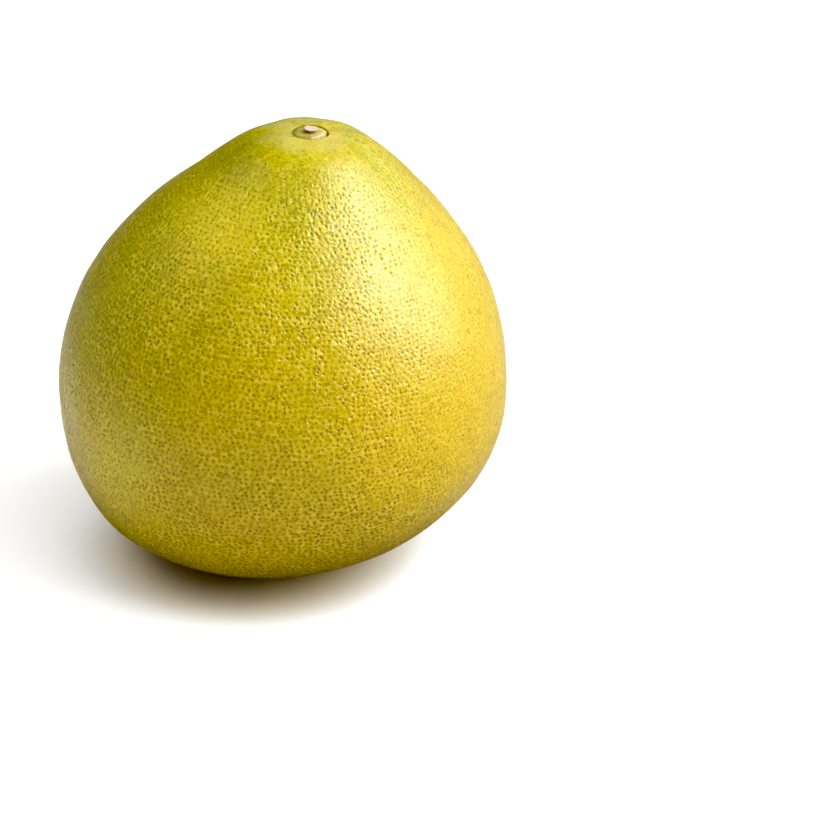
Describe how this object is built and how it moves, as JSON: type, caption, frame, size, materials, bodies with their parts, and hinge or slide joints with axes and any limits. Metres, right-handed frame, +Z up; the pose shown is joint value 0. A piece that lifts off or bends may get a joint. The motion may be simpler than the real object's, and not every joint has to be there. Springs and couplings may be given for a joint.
{
  "type": "pomelo",
  "caption": "Whole pear-shaped citrus fruit with a tapering neck, a calyx button and a cut stem stub on top, resting on a small flat spot.",
  "frame": {"origin": "middle of the base of the bounding box, on the surface that the fruit rests on", "axes": "+Z up towards the stem end, -Y towards the viewer of the picture, +X to the viewer's right, which is the way the neck leans"},
  "size_m": [0.15, 0.15, 0.1514],
  "materials": {
    "peel": "satin",
    "calyx": "matte",
    "stem": "matte"
  },
  "bodies": {
    "root": {"fruit": "peel", "calyx": "calyx", "stem_stub": "stem"}
  },
  "joints": []
}
